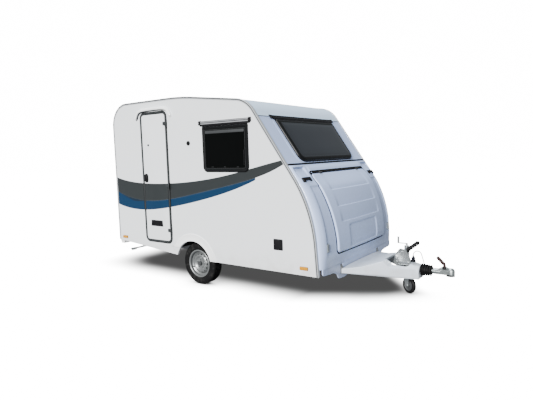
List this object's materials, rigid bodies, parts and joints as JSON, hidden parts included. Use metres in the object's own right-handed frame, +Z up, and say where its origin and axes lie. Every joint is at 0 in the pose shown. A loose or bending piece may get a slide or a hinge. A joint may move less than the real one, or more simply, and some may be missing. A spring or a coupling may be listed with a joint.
{
  "type": "touring caravan",
  "caption": "Small single-axle touring caravan with an entrance door, gas locker lid, jockey wheel, corner steadies and a ball coupling on an A-frame drawbar.",
  "frame": {"origin": "on the ground under the middle of the caravan, drawbar included", "axes": "+X forward to the hitch, +Y to the left side, +Z up"},
  "size_m": [4.582, 2.046, 2.483],
  "materials": {
    "chassis_metal": "galvanised, dull",
    "axle_metal": "satin, dusty",
    "floor_board": "sealed plywood",
    "bed_board": "light veneer",
    "bed_fabric": "woven",
    "wall_skin": "gloss white sheet",
    "front_skin": "gloss pale grey blue",
    "trim_grey": "satin grey",
    "tub_plastic": "moulded",
    "black_plastic": "satin",
    "pane_acrylic": "tinted, gloss",
    "white_plastic": "semi gloss",
    "tyre_rubber": "worn",
    "rim_steel": "silver paint",
    "hub_iron": "dull",
    "zinc_steel": "zinc plated",
    "soft_rubber": "matt",
    "handle_plastic": "satin dark red brown",
    "plug_plastic": "satin dark blue",
    "amber": "lens",
    "red_lens": "lens"
  },
  "bodies": {
    "caravan": {"rail_right": "chassis_metal", "rail_left": "chassis_metal", "cross_members": "chassis_metal", "axle": "axle_metal", "floor_panel": "floor_board", "side_wall_right": "wall_skin", "side_wall_left": "wall_skin", "rear_wall": "wall_skin", "roof_panel": "wall_skin", "front_upper": "front_skin", "front_lower": "front_skin", "front_skirt": "front_skin", "edge_trims": "trim_grey", "locker_tub": "tub_plastic", "door_frame": "trim_grey", "door_gutter": "white_plastic", "window_frames": "black_plastic", "window_panes": "pane_acrylic", "window_rails": "trim_grey", "arch_trims": "white_plastic", "wheel_boxes": "tub_plastic", "bed_base": "bed_board", "bed_cushions": "bed_fabric", "drawbar_cover": "white_plastic", "overrun_housing": "axle_metal", "bellows": "soft_rubber", "coupling_head": "zinc_steel", "coupling_handle": "handle_plastic", "coupling_bumper": "soft_rubber", "handbrake": "black_plastic", "jockey_tube": "zinc_steel", "plug_holder": "black_plastic", "plug": "plug_plastic", "plug_cable": "soft_rubber", "marker_lamps": "amber", "front_lamps": "white_plastic", "grab_handles": "black_plastic", "wall_fittings": "black_plastic", "rear_lamps": "red_lens", "rear_valance": "front_skin", "roof_light": "white_plastic"},
    "door": {"door_leaf": "wall_skin", "door_fittings": "black_plastic"},
    "lid": {"locker_lid": "front_skin"},
    "wheel_right": {"tyre_right": "tyre_rubber", "rim_right": "rim_steel", "hub_right": "hub_iron"},
    "wheel_left": {"tyre_left": "tyre_rubber", "rim_left": "rim_steel", "hub_left": "hub_iron"},
    "jockey_leg": {"jockey_leg": "zinc_steel"},
    "jockey_fork": {"jockey_fork": "zinc_steel"},
    "jockey_wheel": {"jockey_wheel": "soft_rubber"},
    "steady_front_right": {"steady_front_right": "zinc_steel"},
    "steady_front_left": {"steady_front_left": "zinc_steel"},
    "steady_rear_right": {"steady_rear_right": "zinc_steel"},
    "steady_rear_left": {"steady_rear_left": "zinc_steel"}
  },
  "joints": [
    {"name": "door_hinge", "type": "hinge", "parent": "caravan", "child": "door", "pos_m": [-1.103, -1.0215, 1.4], "axis": [0, 0, 1], "range_deg": [0, 175]},
    {"name": "lid_hinge", "type": "hinge", "parent": "caravan", "child": "lid", "pos_m": [0.8976, 0, 1.451], "axis": [0, -1, 0], "range_deg": [0, 80]},
    {"name": "wheel_right_turn", "type": "hinge", "parent": "caravan", "child": "wheel_right", "pos_m": [-0.689, -0.865, 0.277], "axis": [0, 1, 0], "continuous": true},
    {"name": "wheel_left_turn", "type": "hinge", "parent": "caravan", "child": "wheel_left", "pos_m": [-0.689, 0.865, 0.277], "axis": [0, 1, 0], "continuous": true},
    {"name": "jockey_slide", "type": "slide", "parent": "caravan", "child": "jockey_leg", "axis": [0, 0, 1], "range_m": [-0.15, 0.01]},
    {"name": "jockey_swivel", "type": "hinge", "parent": "jockey_leg", "child": "jockey_fork", "pos_m": [1.726, 0.07, 0.2], "axis": [0, 0, 1], "continuous": true},
    {"name": "jockey_wheel_turn", "type": "hinge", "parent": "jockey_fork", "child": "jockey_wheel", "pos_m": [1.765, 0.0475, 0.1], "axis": [0.5, 0.866, 0], "continuous": true},
    {"name": "steady_front_right_turn", "type": "hinge", "parent": "caravan", "child": "steady_front_right", "pos_m": [0.483, -0.8, 0.432], "axis": [0, 1, 0], "range_deg": [0, 38]},
    {"name": "steady_front_left_turn", "type": "hinge", "parent": "caravan", "child": "steady_front_left", "pos_m": [0.483, 0.8, 0.432], "axis": [0, 1, 0], "range_deg": [0, 38]},
    {"name": "steady_rear_right_turn", "type": "hinge", "parent": "caravan", "child": "steady_rear_right", "pos_m": [-1.689, -0.8, 0.432], "axis": [0, -1, 0], "range_deg": [0, 38]},
    {"name": "steady_rear_left_turn", "type": "hinge", "parent": "caravan", "child": "steady_rear_left", "pos_m": [-1.689, 0.8, 0.432], "axis": [0, -1, 0], "range_deg": [0, 38]}
  ]
}
